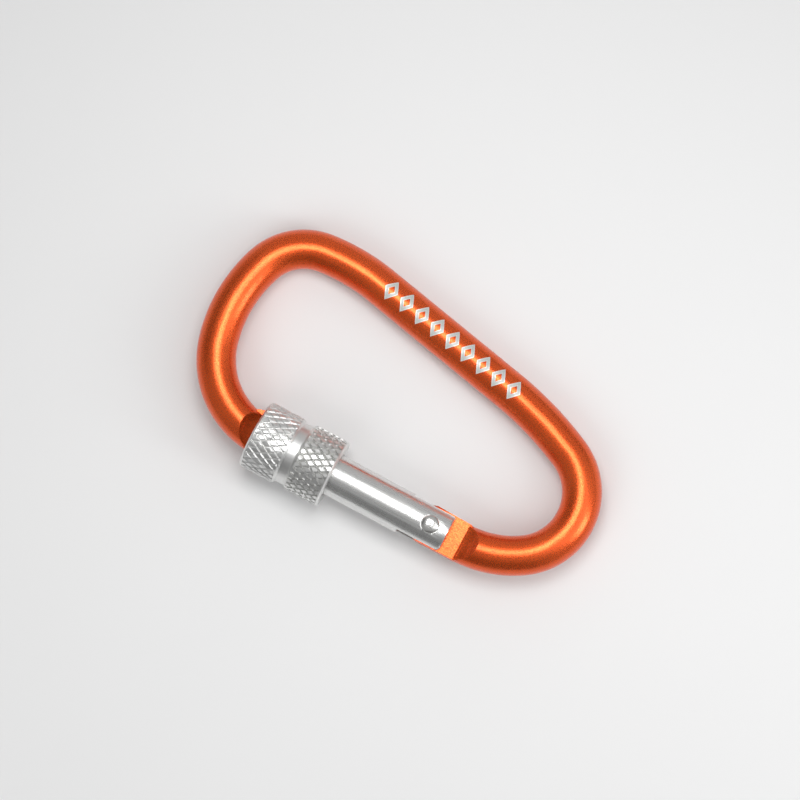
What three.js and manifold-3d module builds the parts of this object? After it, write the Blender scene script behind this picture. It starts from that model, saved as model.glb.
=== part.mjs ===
// A locking carabiner for keys: a bent round bar, a tube gate that swings on a rivet, a return
// spring with its plunger inside the gate, and a knurled sleeve that locks the gate to the nose.
//
// Millimetres and degrees. Everything is drawn round the hinge rivet: X runs along the closed
// gate from nose to hinge, Y crosses the loop towards the spine, Z goes through the bar.
// The last lines move the origin to the middle of the underside.
import * as THREE from "three";
import { mergeVertices } from "three/addons/utils/BufferGeometryUtils.js";
import Module from "manifold-3d";

const wasm = await Module();
wasm.setup();

// ---- Driving dimensions ----

const BAR_RADIUS = 3.6;
const BAR_SIDES = 24;
const BAR_STEP = 1.7; // length of one facet along the bar

// The bar's bends in order, from the hinge round the small end, the spine and the wide end.
const HINGE_BENDS = [
  { radius: 20.0, turn: 33.3 },
  { radius: 11.6, turn: 121.2 },
  { radius: 65.7, turn: 14.0 },
];
const NOSE_BENDS = [
  { radius: 39.1, turn: 17.3 },
  { radius: 10.8, turn: 64.5 },
  { radius: 26.7, turn: 35.5 },
  { radius: 16.0, turn: 74.2 },
];

// The bar is flattened to a tongue at both ends. A tongue's flat ends at its foot, where a
// hollow wall rises to the full bar.
const TONGUE_HALF = 1.6; // half its thickness
const HINGE_FOOT = 6.3;
const NOSE_FOOT = -35.65;
const WALL_RADIUS = 4.1; // hollow wall, seen from the side
const WALL_START = 7.7; // its slope at the foot
const WALL_END = 62; // and past the top of the bar

const GATE_RADIUS = 3.9;
const GATE_HINGE_END = 3.5;
const GATE_NOSE_END = -35.2;
const SLOT_HALF = 1.8; // half the width of both slots
const HINGE_SLOT_END = -4.95;
const NOSE_SLOT_END = -30.4;
const THREAD_RADIUS = 4.3;
const THREAD_END = -21.3;
const BORE_RADIUS = 1.7;
const BORE_END = -23;

const RIVET_RADIUS = 1.2;
const RIVET_HEAD_RADIUS = 1.68;
const RIVET_HEAD_TOP = 4.35;
const RIVET_SEAT = 3.6; // height of the small flat under each head
const RUNNING_GAP = 0.08;

const PIN_X = -33.6;
const PIN_RADIUS = 0.75;
const PIN_HALF_LENGTH = 4.0;
const NOTCH_GAP = 0.2;

const SLEEVE_RADIUS = 6.45;
const SLEEVE_LENGTH = 16;
const SLEEVE_GROOVE_RADIUS = 5.88;
const SLEEVE_GROOVE_WIDTH = 1.9;
const SLEEVE_CHAMFER = 0.35;
const SLEEVE_MOUTH_RADIUS = 5.0;
const SLEEVE_MOUTH_DEPTH = 5.6;
const SLEEVE_THREAD_RADIUS = 4.46;
const SLEEVE_LAND_RADIUS = 4.1;
const SLEEVE_LAND_LENGTH = 0.9;

const PLUNGER_RADIUS = 1.5;
const PLUNGER_TIP = -2.75;
const PLUNGER_SHOULDER = -8.5;
const PLUNGER_GUIDE_RADIUS = 0.85;
const PLUNGER_GUIDE_END = -12;

const SPRING_MEAN_RADIUS = 1.25;
const SPRING_WIRE_RADIUS = 0.2;
const SPRING_TURNS = 11;
const SPRING_GAP = 0.3; // clear of the shoulder and of the bore's end

const ROUND_SIDES = 48;
const PIN_SIDES = 24;
const BEYOND = 8; // how far a cutting body reaches past what it cuts

// ---- Closed bodies ----

function toSolid(geometry) {
  const bare = geometry.index ? geometry.toNonIndexed() : geometry.clone();
  bare.deleteAttribute("normal");
  bare.deleteAttribute("uv");
  const merged = mergeVertices(bare, 1e-4);
  const corners = merged.index.array;
  const kept = [];
  for (let i = 0; i < corners.length; i += 3) {
    const [a, b, c] = corners.slice(i, i + 3);
    if (a !== b && b !== c && c !== a) kept.push(a, b, c);
  }
  const build = (triangles) =>
    new wasm.Manifold(
      new wasm.Mesh({
        numProp: 3,
        vertProperties: merged.attributes.position.array,
        triVerts: new Uint32Array(triangles),
      }),
    );
  const solid = build(kept);
  // A profile drawn the other way round gives a body that faces in, so it is turned.
  return solid.volume() < 0 ? build(kept.reverse()) : solid;
}

function toGeometry(solid) {
  const { vertProperties, triVerts } = solid.getMesh();
  const geometry = new THREE.BufferGeometry();
  geometry.setAttribute("position", new THREE.BufferAttribute(vertProperties, 3));
  geometry.setIndex(new THREE.BufferAttribute(triVerts, 1));
  return geometry;
}

function shapeOf(points) {
  return new THREE.Shape(points.map(([x, y]) => new THREE.Vector2(x, y)));
}

function circlePoints(radius, sides) {
  return Array.from({ length: sides }, (_, i) => {
    const angle = (2 * Math.PI * i) / sides;
    return [radius * Math.cos(angle), radius * Math.sin(angle)];
  });
}

function roundAlongX(radius, from, to, sides = ROUND_SIDES) {
  const geometry = new THREE.CylinderGeometry(radius, radius, to - from, sides);
  geometry.rotateZ(Math.PI / 2).translate((from + to) / 2, 0, 0);
  return toSolid(geometry);
}

function roundAlongZ(radius, x, from, to, sides = PIN_SIDES) {
  const geometry = new THREE.CylinderGeometry(radius, radius, to - from, sides);
  geometry.rotateX(Math.PI / 2).translate(x, 0, (from + to) / 2);
  return toSolid(geometry);
}

function block(x0, x1, halfY, z0, z1) {
  const geometry = new THREE.BoxGeometry(x1 - x0, 2 * halfY, z1 - z0);
  geometry.translate((x0 + x1) / 2, 0, (z0 + z1) / 2);
  return toSolid(geometry);
}

// A plan outline given a thickness of twice half, centred on the bar's plane.
function plate(shape, half) {
  const geometry = new THREE.ExtrudeGeometry(shape, {
    depth: 2 * half,
    bevelEnabled: false,
    curveSegments: 10,
  });
  geometry.translate(0, 0, -half);
  return toSolid(geometry);
}

// A profile of [radius, x] points turned round the X axis.
function turned(profile, sides = ROUND_SIDES) {
  const points = profile.map(([radius, x]) => new THREE.Vector2(radius, x));
  const geometry = new THREE.LatheGeometry(points, sides);
  geometry.rotateZ(-Math.PI / 2);
  return toSolid(geometry);
}

// ---- The bar's centre line ----

function legLength(leg) {
  return leg.straight ?? leg.radius * THREE.MathUtils.degToRad(leg.turn);
}

function advance({ x, y, heading }, leg, distance) {
  if (leg.straight !== undefined) {
    const dx = distance * Math.cos(heading);
    const dy = distance * Math.sin(heading);
    return { x: x + dx, y: y + dy, heading };
  }
  const next = heading + distance / leg.radius;
  return {
    x: x + leg.radius * (Math.sin(next) - Math.sin(heading)),
    y: y + leg.radius * (Math.cos(heading) - Math.cos(next)),
    heading: next,
  };
}

function follow(start, legs) {
  return legs.reduce((place, leg) => advance(place, leg, legLength(leg)), start);
}

class BarLine extends THREE.Curve {
  constructor(start, legs) {
    super();
    this.start = start;
    this.legs = legs;
    this.total = legs.reduce((sum, leg) => sum + legLength(leg), 0);
  }

  getPoint(t, target = new THREE.Vector3()) {
    let left = t * this.total;
    let place = this.start;
    for (const leg of this.legs) {
      const distance = Math.min(left, legLength(leg));
      place = advance(place, leg, distance);
      left -= distance;
    }
    return target.set(place.x, place.y, 0);
  }
}

// The straight spine is as long as it has to be for the nose to end on the gate's axis.
function barLine() {
  const start = { x: HINGE_FOOT, y: 0, heading: 0 };
  const spineStart = follow(start, HINGE_BENDS);
  const drop = follow({ x: 0, y: 0, heading: spineStart.heading }, NOSE_BENDS).y;
  const straight = -(spineStart.y + drop) / Math.sin(spineStart.heading);
  return new BarLine(start, [...HINGE_BENDS, { straight }, ...NOSE_BENDS]);
}

// ---- Sub-parts ----

// What is cut away above a tongue, drawn from the side with the foot at the origin and the
// bar towards +X.
function wallCutter(foot, towardsBar) {
  const first = THREE.MathUtils.degToRad(WALL_START);
  const last = THREE.MathUtils.degToRad(WALL_END);
  const steps = 10;
  const points = [];
  for (let i = 0; i <= steps; i++) {
    const slope = first + ((last - first) * i) / steps;
    const x = WALL_RADIUS * (Math.sin(slope) - Math.sin(first));
    const z = WALL_RADIUS * (Math.cos(first) - Math.cos(slope));
    points.push([foot + towardsBar * x, TONGUE_HALF + z]);
  }
  const [topX] = points.at(-1);
  points.push([topX, BEYOND], [foot - towardsBar * BEYOND, BEYOND]);
  points.push([foot - towardsBar * BEYOND, TONGUE_HALF]);
  const geometry = new THREE.ExtrudeGeometry(shapeOf(points), {
    depth: 2 * BEYOND,
    bevelEnabled: false,
  });
  geometry.rotateX(Math.PI / 2).translate(0, BEYOND, 0);
  return toSolid(geometry);
}

// The hinge tongue's plan: full width at the foot, a pointed inner corner, a flat end face for
// the plunger and a rounded outer corner.
function hingeTongueShape() {
  const shape = new THREE.Shape();
  shape.moveTo(HINGE_FOOT + 1.6, -2.9);
  shape.lineTo(HINGE_FOOT + 0.3, -BAR_RADIUS);
  shape.lineTo(-1.1, -BAR_RADIUS);
  shape.quadraticCurveTo(-2.4, -3.2, -2.55, -1.2);
  shape.lineTo(-2.55, 2.9);
  shape.lineTo(-0.36, 4.13);
  shape.lineTo(GATE_HINGE_END, 3.75);
  shape.lineTo(HINGE_FOOT + 0.3, BAR_RADIUS);
  shape.lineTo(HINGE_FOOT + 1.6, 2.9);
  return shape;
}

// The nose tongue's plan: flared on its inner side, with a long bevel on the outer side that
// passes the sleeve's mouth as the gate opens.
function noseTongueShape() {
  return shapeOf([
    [NOSE_FOOT - 2.2, 3.3],
    [NOSE_FOOT - 2.2, -2.5],
    [NOSE_FOOT - 0.3, -3.52],
    [NOSE_FOOT + 1.1, -3.55],
    [NOSE_FOOT + 4.25, -1.2],
    [NOSE_FOOT + 4.25, 2.0],
    [NOSE_FOOT + 3.8, 2.4],
    [NOSE_FOOT + 2.6, 2.4],
    [NOSE_FOOT + 0.9, 4.4],
    [NOSE_FOOT, 4.45],
    [NOSE_FOOT - 1.5, 3.98],
  ]);
}

// The notch for the latch pin follows the pin's own arc about the rivet.
function notchShape() {
  const half = PIN_RADIUS + NOTCH_GAP;
  const far = -PIN_X + half;
  const near = -PIN_X - half;
  const open = Math.PI - Math.asin(BEYOND / far);
  const shape = new THREE.Shape();
  shape.absarc(0, 0, far, Math.PI, open, true);
  shape.absarc(0, 0, near, open, Math.PI, false);
  shape.absarc(PIN_X, 0, half, 0, Math.PI, true);
  return shape;
}

function makeBar() {
  const line = barLine();
  const steps = Math.round(line.total / BAR_STEP);
  const section = shapeOf(circlePoints(BAR_RADIUS, BAR_SIDES));
  const bent = new THREE.ExtrudeGeometry(section, { steps, extrudePath: line });
  const beforeHinge = HINGE_FOOT - 0.5;
  const pastNose = NOSE_FOOT + 0.5;
  let bar = toSolid(bent).subtract(block(pastNose, 0, BEYOND, -BEYOND, BEYOND));
  bar = bar.add(roundAlongX(BAR_RADIUS, beforeHinge, HINGE_FOOT + 0.1, BAR_SIDES));
  bar = bar.add(plate(hingeTongueShape(), TONGUE_HALF));
  bar = bar.add(plate(noseTongueShape(), TONGUE_HALF));
  for (const cutter of [wallCutter(HINGE_FOOT, 1), wallCutter(NOSE_FOOT, -1)]) {
    bar = bar.subtract(cutter).subtract(cutter.mirror([0, 0, 1]));
  }
  bar = bar.subtract(roundAlongZ(RIVET_RADIUS + RUNNING_GAP, 0, -BEYOND, BEYOND));
  return bar.subtract(plate(notchShape(), BEYOND));
}

function makeGate() {
  const tube = turned([
    [0, GATE_NOSE_END],
    [THREAD_RADIUS - 0.3, GATE_NOSE_END],
    [THREAD_RADIUS, GATE_NOSE_END + 0.3],
    [THREAD_RADIUS, THREAD_END - 0.4],
    [GATE_RADIUS, THREAD_END],
    [GATE_RADIUS, GATE_HINGE_END - 0.2],
    [GATE_RADIUS - 0.2, GATE_HINGE_END],
    [0, GATE_HINGE_END],
  ]);
  const noseSlot = block(GATE_NOSE_END - 1, NOSE_SLOT_END, BEYOND, -SLOT_HALF, SLOT_HALF);
  const hingeSlot = block(HINGE_SLOT_END, GATE_HINGE_END + 1, BEYOND, -SLOT_HALF, SLOT_HALF);
  let gate = tube.subtract(noseSlot).subtract(hingeSlot);
  gate = gate.subtract(roundAlongX(BORE_RADIUS, BORE_END, HINGE_SLOT_END + 1, PIN_SIDES));
  const seatRadius = RIVET_HEAD_RADIUS + RUNNING_GAP;
  for (const [from, to] of [[RIVET_SEAT, BEYOND], [-BEYOND, -RIVET_SEAT]]) {
    gate = gate.subtract(roundAlongZ(seatRadius, 0, from, to));
  }
  gate = gate.subtract(roundAlongZ(RIVET_RADIUS + RUNNING_GAP, 0, -BEYOND, BEYOND));
  return gate.subtract(roundAlongZ(PIN_RADIUS + RUNNING_GAP, PIN_X, -BEYOND, BEYOND));
}

// Turned round X like the others, then stood up along Z.
function makeRivet() {
  const seat = RIVET_SEAT + 0.03;
  const edge = seat + 0.25;
  const upper = [
    [RIVET_RADIUS, seat],
    [RIVET_HEAD_RADIUS, seat],
    [RIVET_HEAD_RADIUS, edge],
    [RIVET_HEAD_RADIUS * 0.75, RIVET_HEAD_TOP - 0.15],
    [RIVET_HEAD_RADIUS * 0.4, RIVET_HEAD_TOP],
    [0, RIVET_HEAD_TOP],
  ];
  const lower = upper.map(([radius, z]) => [radius, -z]).reverse();
  const points = [...lower, ...upper].map(([radius, z]) => new THREE.Vector2(radius, z));
  const geometry = new THREE.LatheGeometry(points, PIN_SIDES);
  geometry.rotateX(Math.PI / 2);
  return toSolid(geometry);
}

function makeLatchPin() {
  return roundAlongZ(PIN_RADIUS, PIN_X, -PIN_HALF_LENGTH, PIN_HALF_LENGTH);
}

function makePlunger() {
  return turned(
    [
      [0, PLUNGER_GUIDE_END],
      [PLUNGER_GUIDE_RADIUS, PLUNGER_GUIDE_END],
      [PLUNGER_GUIDE_RADIUS, PLUNGER_SHOULDER],
      [PLUNGER_RADIUS, PLUNGER_SHOULDER],
      [PLUNGER_RADIUS, PLUNGER_TIP - 0.3],
      [PLUNGER_RADIUS - 0.3, PLUNGER_TIP],
      [0, PLUNGER_TIP],
    ],
    PIN_SIDES,
  );
}

class Coil extends THREE.Curve {
  getPoint(t, target = new THREE.Vector3()) {
    const from = BORE_END + SPRING_GAP + SPRING_WIRE_RADIUS;
    const to = PLUNGER_SHOULDER - SPRING_GAP - SPRING_WIRE_RADIUS;
    const angle = 2 * Math.PI * SPRING_TURNS * t;
    return target.set(
      from + (to - from) * t,
      SPRING_MEAN_RADIUS * Math.cos(angle),
      SPRING_MEAN_RADIUS * Math.sin(angle),
    );
  }
}

function makeSpring() {
  const section = shapeOf(circlePoints(SPRING_WIRE_RADIUS, 6));
  const settings = { steps: SPRING_TURNS * 10, extrudePath: new Coil() };
  return toSolid(new THREE.ExtrudeGeometry(section, settings));
}

// Two knurled bands with a groove between them outside; a mouth, a thread and a guide land
// inside. The knurl is drawn at its crests and the thread at its crests.
function makeSleeve() {
  const left = NOSE_FOOT;
  const right = left + SLEEVE_LENGTH;
  const grooveLeft = (left + right - SLEEVE_GROOVE_WIDTH) / 2;
  const grooveRight = grooveLeft + SLEEVE_GROOVE_WIDTH;
  const rim = SLEEVE_RADIUS - SLEEVE_CHAMFER;
  const threadStart = left + SLEEVE_MOUTH_DEPTH;
  const landStart = right - SLEEVE_LAND_LENGTH;
  return turned([
    [SLEEVE_MOUTH_RADIUS, left],
    [rim, left],
    [SLEEVE_RADIUS, left + SLEEVE_CHAMFER],
    [SLEEVE_RADIUS, grooveLeft],
    [SLEEVE_GROOVE_RADIUS, grooveLeft],
    [SLEEVE_GROOVE_RADIUS, grooveRight],
    [SLEEVE_RADIUS, grooveRight],
    [SLEEVE_RADIUS, right - SLEEVE_CHAMFER],
    [rim, right],
    [SLEEVE_LAND_RADIUS, right],
    [SLEEVE_LAND_RADIUS, landStart],
    [SLEEVE_THREAD_RADIUS, landStart],
    [SLEEVE_THREAD_RADIUS, threadStart],
    [SLEEVE_MOUTH_RADIUS, threadStart],
    [SLEEVE_MOUTH_RADIUS, left],
  ]);
}

// ---- Finishes and assembly ----

function finish(color, roughness, metalness = 1) {
  return new THREE.MeshStandardMaterial({ color, roughness, metalness });
}

const anodised = finish(0xe06a1e, 0.34);
const turnedAluminium = finish(0xc9c9c7, 0.28);
const knurledAluminium = finish(0xd2d2d0, 0.3);
const steel = finish(0xb4b4b2, 0.25);
const springSteel = finish(0x77777a, 0.4);

const SUB_PARTS = [
  ["spine_bar", makeBar, anodised],
  ["gate_tube", makeGate, turnedAluminium],
  ["hinge_rivet", makeRivet, steel],
  ["latch_pin", makeLatchPin, steel],
  ["gate_plunger", makePlunger, steel],
  ["gate_spring", makeSpring, springSteel],
  ["locking_sleeve", makeSleeve, knurledAluminium],
];

const carabiner = new THREE.Group();
for (const [name, make, material] of SUB_PARTS) {
  const mesh = new THREE.Mesh(toGeometry(make()), material);
  mesh.name = name;
  carabiner.add(mesh);
}

// The origin is the middle of the bounding box's underside.
const extent = new THREE.Box3().setFromObject(carabiner);
const middle = extent.getCenter(new THREE.Vector3());
carabiner.position.set(-middle.x, -middle.y, -extent.min.z);

export default carabiner;
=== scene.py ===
"""A locking carabiner for keys: a bent, anodised round bar, a turned tube gate on a rivet, the gate's
plunger and spring, and a knurled screw sleeve. Each piece is drawn in millimetres round the hinge
rivet, with X along the closed gate from nose to hinge, Y across the loop towards the spine and Z
through the bar, and is then set in the frame in metres."""

import math
import random

import bmesh
import bpy
from bpy.props import FloatProperty, FloatVectorProperty, IntProperty, PointerProperty
from mathutils import Matrix, Vector


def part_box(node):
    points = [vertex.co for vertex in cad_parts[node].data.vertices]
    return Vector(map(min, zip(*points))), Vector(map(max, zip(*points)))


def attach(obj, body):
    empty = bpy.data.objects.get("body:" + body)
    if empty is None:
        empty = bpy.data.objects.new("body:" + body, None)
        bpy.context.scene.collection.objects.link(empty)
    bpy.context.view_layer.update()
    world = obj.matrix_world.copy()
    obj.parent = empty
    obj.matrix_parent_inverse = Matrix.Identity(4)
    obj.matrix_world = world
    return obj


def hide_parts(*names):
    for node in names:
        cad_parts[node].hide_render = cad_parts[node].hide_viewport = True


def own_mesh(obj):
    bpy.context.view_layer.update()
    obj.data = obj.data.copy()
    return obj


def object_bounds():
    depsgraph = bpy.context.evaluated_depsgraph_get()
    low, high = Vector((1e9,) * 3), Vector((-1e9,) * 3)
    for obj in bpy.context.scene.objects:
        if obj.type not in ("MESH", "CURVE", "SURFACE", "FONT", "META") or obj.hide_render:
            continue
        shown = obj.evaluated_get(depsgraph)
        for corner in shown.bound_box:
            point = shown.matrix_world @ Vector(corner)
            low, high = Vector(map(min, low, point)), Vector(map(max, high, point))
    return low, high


bl_info = {
    "name": "Locking Carabiner",
    "version": (1, 0, 0),
    "blender": (4, 5, 0),
    "location": "View3D > Sidebar > Carabiner",
    "description": "Builds a screw-lock key carabiner round its frame, with its finishes and stage",
    "category": "Add Mesh",
}

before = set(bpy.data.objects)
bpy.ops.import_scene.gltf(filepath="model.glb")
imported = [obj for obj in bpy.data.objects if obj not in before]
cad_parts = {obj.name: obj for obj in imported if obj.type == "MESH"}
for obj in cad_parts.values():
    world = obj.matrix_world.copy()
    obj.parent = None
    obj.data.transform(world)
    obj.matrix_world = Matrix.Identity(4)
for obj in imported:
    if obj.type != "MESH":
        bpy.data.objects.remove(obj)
CAD_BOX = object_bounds()

MM = 0.001
PIVOT = sum((Vector(corner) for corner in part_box("hinge_rivet")), Vector()) / 2


def drawn_box(node):
    """A node's lowest and highest corners in drawing millimetres round the rivet."""
    return [(Vector(corner) - PIVOT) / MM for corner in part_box(node)]


BAR_BOX = drawn_box("spine_bar")
GATE_BOX = drawn_box("gate_tube")
RIVET_BOX = drawn_box("hinge_rivet")
PIN_BOX = drawn_box("latch_pin")
PLUNGER_BOX = drawn_box("gate_plunger")
SPRING_BOX = drawn_box("gate_spring")
SLEEVE_BOX = drawn_box("locking_sleeve")

# ---- Drawing sizes in millimetres and degrees ----

# The bar's centre line from the hinge tongue's foot: the radius and turn of each bend, with the
# straight spine between the two lists.
HINGE_BENDS = ((20.0, 33.3), (11.6, 121.2), (65.7, 14.0))
NOSE_BENDS = ((39.1, 17.3), (10.8, 64.5), (26.7, 35.5), (16.0, 74.2))
BAR_SIDES = 96  # round the bar
BAR_STEP = 0.5
ROUND_STOPS_SHORT = 0.88  # the round bar ends here before its line does, inside the sleeve

HINGE_FOOT = 6.3  # where each tongue's flat ends and its hollow wall rises
NOSE_FOOT = -35.65
WALL_RADIUS = 7.3  # the hollow wall's arc, from its slope at the foot to its slope at the top
WALL_START = math.radians(20)
WALL_END = math.radians(49.5)

GATE_RADIUS = 3.9
GATE_SLOT_HALF = 1.8
HINGE_SLOT_END = -4.95
NOSE_SLOT_END = -30.4
THREAD_END = -21.3
THREAD_PITCH = 1.0
THREAD_DEPTH = 0.34
THREAD_STEP = 0.1
BORE_RADIUS = 1.7
BORE_END = -23.0
RIVET_SHANK = 1.2
RIVET_SEAT = 3.6  # the flat under each rivet head, from the middle
NOTCH_GAP = 0.2
RUNNING_GAP = 0.08
EAR_ROUND = 0.9
EAR_RIM = 0.2  # the wider rounding of that corner's rim
EAR_RIM_FROM = 2.3  # how far across the gate that rim starts
TONGUE_SLOPE_START = 3.28  # across the tongue, at its rounded end
TONGUE_SLOPE_RUN = (7.1, 0.5, 0)

SLEEVE_GROOVE_RADIUS = 5.88
SLEEVE_MOUTH_RADIUS = 5.0
SLEEVE_MOUTH_DEPTH = 5.6
SLEEVE_THREAD_RADIUS = 4.46
SLEEVE_LAND_RADIUS = 4.1
SLEEVE_LAND_LENGTH = 0.9
KNURL_LEFT = (-28.95, -1, 6.15)  # where a band starts beside the groove, its way and its length
KNURL_RIGHT = (-26.3, 1, 6.22)
KNURL_AXIAL_PITCH = 2.24
KNURL_PHASE = 0.87
KNURL_FLANKS = ((0.17, 0.88), (0.05, 0.12))  # (width, share of the depth) of a diamond's flanks
KNURL_DROP = 0.03  # how unevenly the diamonds' crests are pressed up
KNURL_LEAN = 0.012
GROOVE_LIP = 0.13  # from a band's crest to where its flank into the groove starts
GROOVE_STEPS = 8

SPRING_WIRE = 0.2
SPRING_TURNS = 11

MARK_SPAN = (-1.15, 27.35)  # the first and the last diamond's stations along the spine
MARK_LENGTH = 2.9
MARK_HEIGHT = 4.4
MARK_STROKE = 0.7
MARK_RIM = ((0, -0.03), (0.03, 0.03), (0.12, 0.03), (0.16, 0.02))  # (inset, lift) of a stroke's rim
MARK_FILL_LIFT = 0.02
MARK_BACK = 0.03
MARK_SEGMENTS = 40
MARK_TURN = math.radians(2.5)

# The room's dark openings: azimuth, polar angle, dark core, soft edge, share of light kept.
ROOM_OPENINGS = ((66, 80, 8, 20, 0.45), (-70, 68, 20, 38, 0.5), (180, 58, 12, 30, 0.4))
AIM_OFFSET = (-1.45, 1.45, 0)  # the camera's aim from the middle of the part, in the bar's plane
BEYOND = 8.0  # how far a cutting tool reaches past what it cuts


# ---- Settings ----


def linear(code):
    """An sRGB hex colour as linear red, green and blue."""
    parts = [int(code[i : i + 2], 16) / 255 for i in (1, 3, 5)]
    return tuple(p / 12.92 if p <= 0.04045 else ((p + 0.055) / 1.055) ** 2.4 for p in parts)


class CarabinerSizes(bpy.types.PropertyGroup):
    """Sizes that a user would change."""

    bar_radius: FloatProperty(
        name="Bar Radius",
        description="Radius of the round bar",
        default=BAR_BOX[1].z * MM,
        unit="LENGTH",
    )
    tongue_half: FloatProperty(
        name="Tongue Half Thickness",
        description="Half the thickness of the flats at the bar's two ends",
        default=1.6 * MM,
        unit="LENGTH",
    )
    edge_round: FloatProperty(
        name="Edge Rounding",
        description="Width of the rounding that tumbling leaves on cut edges",
        default=0.07 * MM,
        unit="LENGTH",
    )
    knurl_teeth: IntProperty(
        name="Knurl Teeth",
        description="Diamonds round the locking sleeve",
        default=31,
        min=12,
    )
    knurl_depth: FloatProperty(
        name="Knurl Depth",
        description="Depth of the knurl's grooves",
        default=0.2 * MM,
        unit="LENGTH",
    )
    mark_count: IntProperty(
        name="Marks",
        description="Open diamonds engraved along the spine",
        default=9,
        min=1,
    )


class CarabinerFinishes(bpy.types.PropertyGroup):
    """Colours that a user would change."""

    bar_colour: FloatVectorProperty(
        name="Bar Colour",
        description="Dye of the bar's anodising",
        subtype="COLOR",
        default=linear("#E35A20"),
    )
    aluminium_colour: FloatVectorProperty(
        name="Aluminium Colour",
        description="Bare aluminium of the gate and the sleeve",
        subtype="COLOR",
        default=linear("#E3E3E1"),
    )
    steel_colour: FloatVectorProperty(
        name="Steel Colour",
        description="Steel of the rivet, pin and plunger",
        subtype="COLOR",
        default=linear("#D2D1CE"),
    )
    mark_colour: FloatVectorProperty(
        name="Mark Colour",
        description="Bare metal where the engraving went through the dye",
        subtype="COLOR",
        default=linear("#C6C9C6"),
    )
    floor_colour: FloatVectorProperty(
        name="Floor Colour",
        description="Paint of the floor board",
        subtype="COLOR",
        default=linear("#E4E4E4"),
    )


class CarabinerStage(bpy.types.PropertyGroup):
    """The camera's place and the strength of the lights."""

    lean: FloatProperty(
        name="Camera Lean",
        description="Tilt of the camera's axis from upright towards the gate side",
        default=math.radians(6.61),
        subtype="ANGLE",
    )
    side_lean: FloatProperty(
        name="Camera Side Lean",
        description="Tilt of the camera's axis from upright towards the hinge",
        default=math.radians(3.90),
        subtype="ANGLE",
    )
    roll: FloatProperty(
        name="Camera Roll",
        description="Turn of the camera about its axis",
        default=math.radians(27.90),
        subtype="ANGLE",
    )
    distance: FloatProperty(
        name="Camera Distance",
        description="From the camera to the bar's middle plane",
        default=0.522,
        unit="LENGTH",
    )
    overhead_level: FloatProperty(
        name="Overhead Light",
        description="Brightness of the overhead softbox",
        default=6.8,
    )
    strip_level: FloatProperty(
        name="Strip Light",
        description="Brightness of the strip softbox past the hinge",
        default=8.0,
    )
    between_level: FloatProperty(
        name="Between Light",
        description="Brightness of the dim softbox between the overhead one and the strip",
        default=1.4,
    )
    near_level: FloatProperty(
        name="Near Floor Light",
        description="Brightness of the light that lifts the floor on the gate side",
        default=2.3,
    )


# ---- Mesh work ----


def verts_of(geometry):
    return [g for g in geometry if isinstance(g, bmesh.types.BMVert)]


def edges_of(geometry):
    return [g for g in geometry if isinstance(g, bmesh.types.BMEdge)]


def swept(bm, geometry, centre, axis, angle, steps, rise=(0, 0, 0), full=False):
    """Spins geometry about an axis and gives its last copy."""
    made = bmesh.ops.spin(
        bm,
        geom=geometry,
        cent=centre,
        axis=axis,
        dvec=rise,
        angle=angle,
        steps=steps,
        use_merge=full,
        use_duplicate=False,
        use_normal_flip=False,
    )
    return made["geom_last"]


def line_to(bm, vert, place):
    """A new vertex at place, joined to vert."""
    made = bmesh.ops.extrude_vert_indiv(bm, verts=[vert])
    made["verts"][0].co = place
    return made["verts"][0]


def thickened(bm, depth):
    """Fills the closed outline in bm and gives it a depth."""
    bmesh.ops.remove_doubles(bm, verts=bm.verts, dist=1e-4)
    face = bmesh.ops.contextual_create(bm, geom=bm.edges[:])["faces"]
    made = bmesh.ops.extrude_face_region(bm, geom=face)
    bmesh.ops.translate(bm, verts=verts_of(made["geom"]), vec=depth)
    bmesh.ops.recalc_face_normals(bm, faces=bm.faces)
    return bm


def outlined(points, depth):
    """A solid from a closed flat outline through points in order, given a depth."""
    bm = bmesh.new()
    vert = bm.verts.new(points[0])
    for point in (*points[1:], points[0]):
        vert = line_to(bm, vert, point)
    return thickened(bm, depth)


def plate(points, half):
    """A flat outline in the bar's plane, twice half thick."""
    return outlined([(x, y, -half) for x, y in points], (0, 0, 2 * half))


def rod(radius, start, end, sides=48):
    """A plain cylinder from one point to another."""
    bm = bmesh.new()
    start, end = Vector(start), Vector(end)
    turn = (end - start).to_track_quat("Z", "Y").to_matrix().to_4x4()
    bmesh.ops.create_cone(
        bm,
        cap_ends=True,
        segments=sides,
        radius1=radius,
        radius2=radius,
        depth=(end - start).length,
        matrix=Matrix.Translation((start + end) / 2) @ turn,
    )
    return bm


def block(low, high):
    """A box between two corners."""
    bm = bmesh.new()
    low, high = Vector(low), Vector(high)
    size = Matrix.Diagonal((*(high - low), 1))
    bmesh.ops.create_cube(bm, size=1, matrix=Matrix.Translation((low + high) / 2) @ size)
    return bm


def turned(profile, sides, bm=None):
    """A profile of (x, radius) points turned round the X axis, closed at its poles."""
    bm = bm or bmesh.new()
    vert = bm.verts.new((profile[0][0], 0, profile[0][1]))
    chain = [vert]
    for x, radius in profile[1:]:
        vert = line_to(bm, vert, (x, 0, radius))
        chain.append(vert)
    edges = {edge for vert in chain for edge in vert.link_edges}
    swept(bm, [*chain, *edges], (0, 0, 0), (1, 0, 0), 2 * math.pi, sides, full=True)
    bmesh.ops.remove_doubles(bm, verts=bm.verts, dist=1e-4)
    bmesh.ops.recalc_face_normals(bm, faces=bm.faces)
    return bm


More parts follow.
